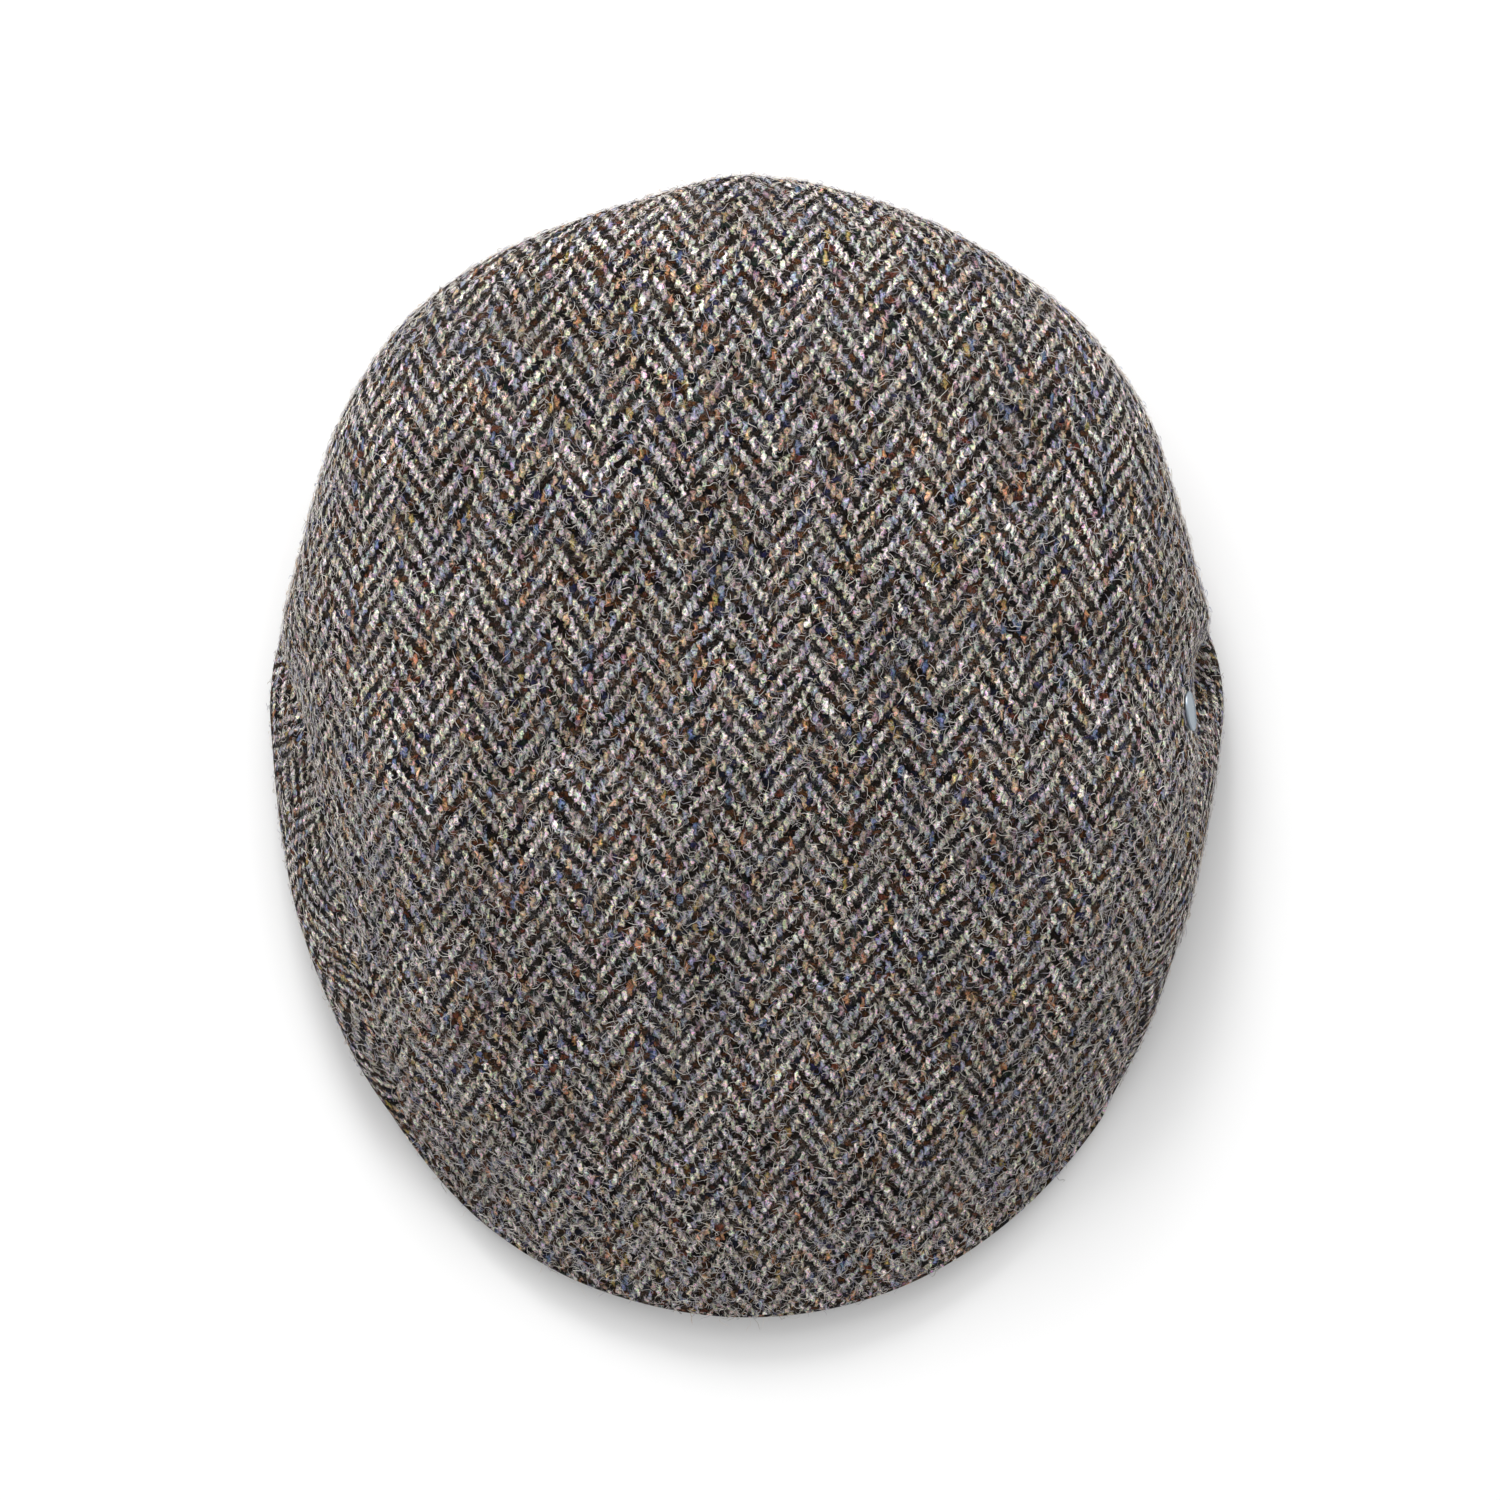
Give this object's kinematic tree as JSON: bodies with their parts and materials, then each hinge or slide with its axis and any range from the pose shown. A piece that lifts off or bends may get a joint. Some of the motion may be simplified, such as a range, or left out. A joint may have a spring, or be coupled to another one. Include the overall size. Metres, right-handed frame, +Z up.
{
  "type": "flat cap",
  "caption": "Soft flat cap in herringbone wool cloth: domed one-piece crown over two side panels and a covered curved peak, head hollow open below, small oval badge at one side.",
  "frame": {"origin": "centre of the plan, on the plane that the cap rests on", "axes": "+Z up, -Y towards the front of the peak, +X to the wearer's left"},
  "size_m": [0.2398, 0.2832, 0.088],
  "materials": {
    "tweed_top": "woollen herringbone cloth, grey-brown, matt",
    "tweed_side_left": "woollen herringbone cloth, grey-brown, matt",
    "tweed_side_right": "woollen herringbone cloth, grey-brown, matt",
    "tweed_peak": "woollen herringbone cloth over a board, grey-brown, matt",
    "nickel_plate": "brushed nickel plate"
  },
  "bodies": {
    "root": {"top_panel": "tweed_top", "side_panel_left": "tweed_side_left", "side_panel_right": "tweed_side_right", "peak": "tweed_peak", "badge": "nickel_plate"}
  },
  "joints": []
}
